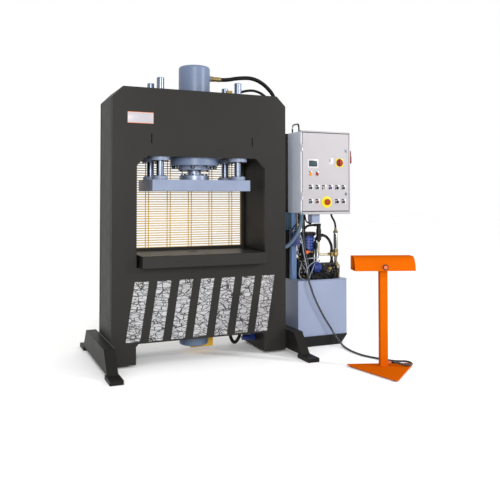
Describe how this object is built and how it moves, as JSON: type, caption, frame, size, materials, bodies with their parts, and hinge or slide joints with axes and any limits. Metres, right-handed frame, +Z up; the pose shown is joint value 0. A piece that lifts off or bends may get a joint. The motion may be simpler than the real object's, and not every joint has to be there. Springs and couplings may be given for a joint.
{
  "type": "hydraulic press",
  "caption": "Closed box-frame hydraulic press with a guided platen, bolster table, ejector, control cabinet over a hydraulic unit, and a two-hand pedestal on a cord.",
  "frame": {"origin": "on the floor, on the ram's axis, centre of the four anchor holes", "axes": "+Z up along the ram, -Y towards the operator, +X towards the control cabinet"},
  "size_m": [2.7933, 2.4366, 2.922],
  "materials": {
    "frame_paint": "dark anthracite, satin",
    "ram_paint": "dark anthracite, satin",
    "cylinder_paint": "blue-grey, satin",
    "column_chrome": "hard chrome",
    "ground_steel": "ground",
    "black_steel": "black oxide",
    "guard_yellow": "satin",
    "fitting_brass": "satin",
    "hose_rubber": "matt",
    "unit_paint": "light blue-grey, satin",
    "door_paint": "pale grey, satin",
    "block_yellow": "satin",
    "motor_blue": "satin",
    "steel_fittings": "satin",
    "pedestal_orange": "satin",
    "foot_rubber": "matt",
    "lever_red": "satin",
    "plastic_black": "satin",
    "plastic_red": "gloss",
    "plastic_green": "gloss",
    "plastic_blue": "gloss",
    "plastic_teal": "gloss",
    "plastic_pale": "gloss"
  },
  "bodies": {
    "frame": {"front_plate": "frame_paint", "rear_plate": "frame_paint", "side_walls": "frame_paint", "inner_walls": "frame_paint", "crown_plates": "frame_paint", "bed_plates": "frame_paint", "table": "ram_paint", "feet": "frame_paint", "main_cylinder": "cylinder_paint", "cylinder_gland": "cylinder_paint", "guide_bushes": "ram_paint", "cylinder_bolts": "black_steel", "rear_guard_frame": "guard_yellow", "rear_guard_wires": "guard_yellow", "hose_fittings": "fitting_brass", "pressure_hose": "hose_rubber", "return_hose": "hose_rubber", "ejector_cylinder": "unit_paint", "ejector_block": "block_yellow", "ejector_valve": "black_steel", "cabinet_body": "unit_paint", "tank": "unit_paint", "tank_lid": "unit_paint", "skids": "black_steel", "cabinet_post": "unit_paint", "pump_motor": "motor_blue", "circulation_motor": "motor_blue", "valve_manifold": "black_steel", "pressure_switch": "steel_fittings", "hydraulic_pipes": "hose_rubber", "pedestal_stand": "pedestal_orange", "pedestal_feet": "foot_rubber", "pedestal_head": "pedestal_orange", "pedestal_cord": "hose_rubber"},
    "ram": {"platen": "ram_paint", "ram_rod": "column_chrome", "guide_columns": "column_chrome", "column_flanges": "ram_paint", "stroke_rod": "ground_steel"},
    "ejector": {"ejector_rod": "column_chrome"},
    "door": {"cabinet_door": "door_paint", "panel_fittings": "plastic_black"},
    "upper_lock": {"upper_lock": "plastic_black"},
    "lower_lock": {"lower_lock": "plastic_black"},
    "side_lever": {"side_lever": "lever_red"},
    "main_switch": {"main_switch_knob": "plastic_red"},
    "estop": {"estop_button": "plastic_red"},
    "key_switch": {"key_switch": "steel_fittings"},
    "selector_upper": {"selector_upper": "plastic_black"},
    "selector_lower": {"selector_lower": "plastic_black"},
    "left_palm": {"left_palm_button": "plastic_red"},
    "right_palm": {"right_palm_button": "plastic_red"},
    "centre_button": {"centre_button": "plastic_pale"},
    "black_upper_button": {"black_upper_button": "plastic_black"},
    "green_button": {"green_button": "plastic_green"},
    "blue_button": {"blue_button": "plastic_blue"},
    "black_right_button": {"black_right_button": "plastic_black"},
    "teal_button": {"teal_button": "plastic_teal"},
    "red_button": {"red_button": "plastic_red"},
    "black_lower_button": {"black_lower_button": "plastic_black"}
  },
  "joints": [
    {"name": "ram_slide", "type": "slide", "parent": "frame", "child": "ram", "axis": [0, 0, -1], "range_m": [0, 0.5]},
    {"name": "ejector_slide", "type": "slide", "parent": "frame", "child": "ejector", "axis": [0, 0, 1], "range_m": [0, 0.1]},
    {"name": "door_hinge", "type": "hinge", "parent": "frame", "child": "door", "pos_m": [1.15, -0.1975, 1.85], "axis": [0, 0, -1], "range_deg": [0, 110]},
    {"name": "side_lever_turn", "type": "hinge", "parent": "frame", "child": "side_lever", "pos_m": [1.757, -0.15, 2.09], "axis": [1, 0, 0], "range_deg": [0, 90]},
    {"name": "main_switch_turn", "type": "hinge", "parent": "door", "child": "main_switch", "pos_m": [1.615, -0.195, 1.966], "axis": [0, 1, 0], "range_deg": [0, 90]},
    {"name": "estop_push", "type": "slide", "parent": "door", "child": "estop", "axis": [0, 1, 0], "range_m": [0, 0.004]},
    {"name": "key_switch_turn", "type": "hinge", "parent": "door", "child": "key_switch", "pos_m": [1.422, -0.195, 1.688], "axis": [0, 1, 0], "range_deg": [0, 90]},
    {"name": "selector_upper_turn", "type": "hinge", "parent": "door", "child": "selector_upper", "pos_m": [1.586, -0.195, 1.688], "axis": [0, 1, 0], "range_deg": [-45, 45]},
    {"name": "selector_lower_turn", "type": "hinge", "parent": "door", "child": "selector_lower", "pos_m": [1.586, -0.195, 1.536], "axis": [0, 1, 0], "range_deg": [-45, 45]},
    {"name": "left_palm_push", "type": "slide", "parent": "frame", "child": "left_palm", "axis": [0.9397, -0.342, 0], "range_m": [0, 0.006], "stiffness_N_per_m": 500, "springref_m": -0.004},
    {"name": "right_palm_push", "type": "slide", "parent": "frame", "child": "right_palm", "axis": [-0.9397, 0.342, 0], "range_m": [0, 0.006], "stiffness_N_per_m": 500, "springref_m": -0.004},
    {"name": "centre_button_push", "type": "slide", "parent": "frame", "child": "centre_button", "axis": [0.342, 0.9397, 0], "range_m": [0, 0.003], "stiffness_N_per_m": 400, "springref_m": -0.003},
    {"name": "upper_lock_turn", "type": "hinge", "parent": "door", "child": "upper_lock", "pos_m": [1.697, -0.195, 2.097], "axis": [0, 1, 0], "range_deg": [0, 90]},
    {"name": "lower_lock_turn", "type": "hinge", "parent": "door", "child": "lower_lock", "pos_m": [1.697, -0.195, 1.623], "axis": [0, 1, 0], "range_deg": [0, 90]},
    {"name": "black_upper_button_push", "type": "slide", "parent": "door", "child": "black_upper_button", "axis": [0, 1, 0], "range_m": [0, 0.003], "stiffness_N_per_m": 300, "springref_m": -0.003},
    {"name": "green_button_push", "type": "slide", "parent": "door", "child": "green_button", "axis": [0, 1, 0], "range_m": [0, 0.003], "stiffness_N_per_m": 300, "springref_m": -0.003},
    {"name": "blue_button_push", "type": "slide", "parent": "door", "child": "blue_button", "axis": [0, 1, 0], "range_m": [0, 0.003], "stiffness_N_per_m": 300, "springref_m": -0.003},
    {"name": "black_right_button_push", "type": "slide", "parent": "door", "child": "black_right_button", "axis": [0, 1, 0], "range_m": [0, 0.003], "stiffness_N_per_m": 300, "springref_m": -0.003},
    {"name": "teal_button_push", "type": "slide", "parent": "door", "child": "teal_button", "axis": [0, 1, 0], "range_m": [0, 0.003], "stiffness_N_per_m": 300, "springref_m": -0.003},
    {"name": "red_button_push", "type": "slide", "parent": "door", "child": "red_button", "axis": [0, 1, 0], "range_m": [0, 0.003], "stiffness_N_per_m": 300, "springref_m": -0.003},
    {"name": "black_lower_button_push", "type": "slide", "parent": "door", "child": "black_lower_button", "axis": [0, 1, 0], "range_m": [0, 0.003], "stiffness_N_per_m": 300, "springref_m": -0.003}
  ]
}
